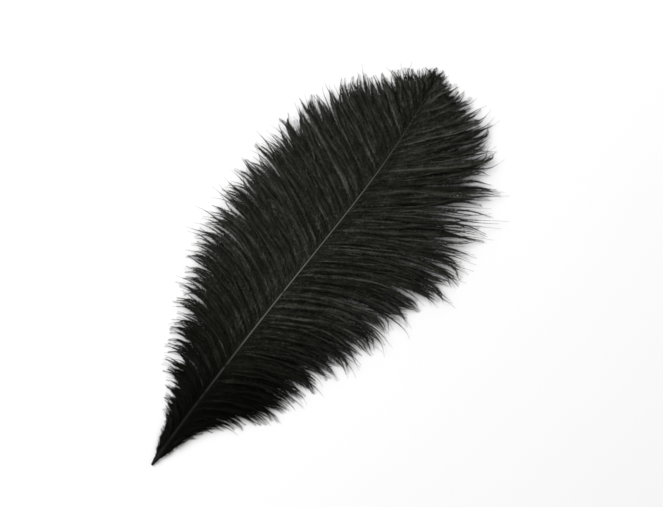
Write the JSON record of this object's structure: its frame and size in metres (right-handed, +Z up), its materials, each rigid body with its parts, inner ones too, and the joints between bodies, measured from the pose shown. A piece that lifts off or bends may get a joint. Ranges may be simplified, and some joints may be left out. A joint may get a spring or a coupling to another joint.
{
  "type": "ostrich plume feather",
  "caption": "Long black plume feather lying face up: a slim arched shaft with loose barbs drawn into pointed locks on both sides, for display, trim and costume.",
  "frame": {"origin": "on the flat underside of the quill, at the grip 34 mm from its end, on the surface that the feather lies on", "axes": "+X along the shaft from the quill to the tip, +Y to the feather's left, +Z up from the surface"},
  "size_m": [0.4493, 0.2295, 0.0218],
  "materials": {
    "dyed_black_feather": "soft black barbs with a faint silky sheen on a smoother, greyer shaft"
  },
  "bodies": {
    "root": {"feather": "dyed_black_feather"}
  },
  "joints": []
}
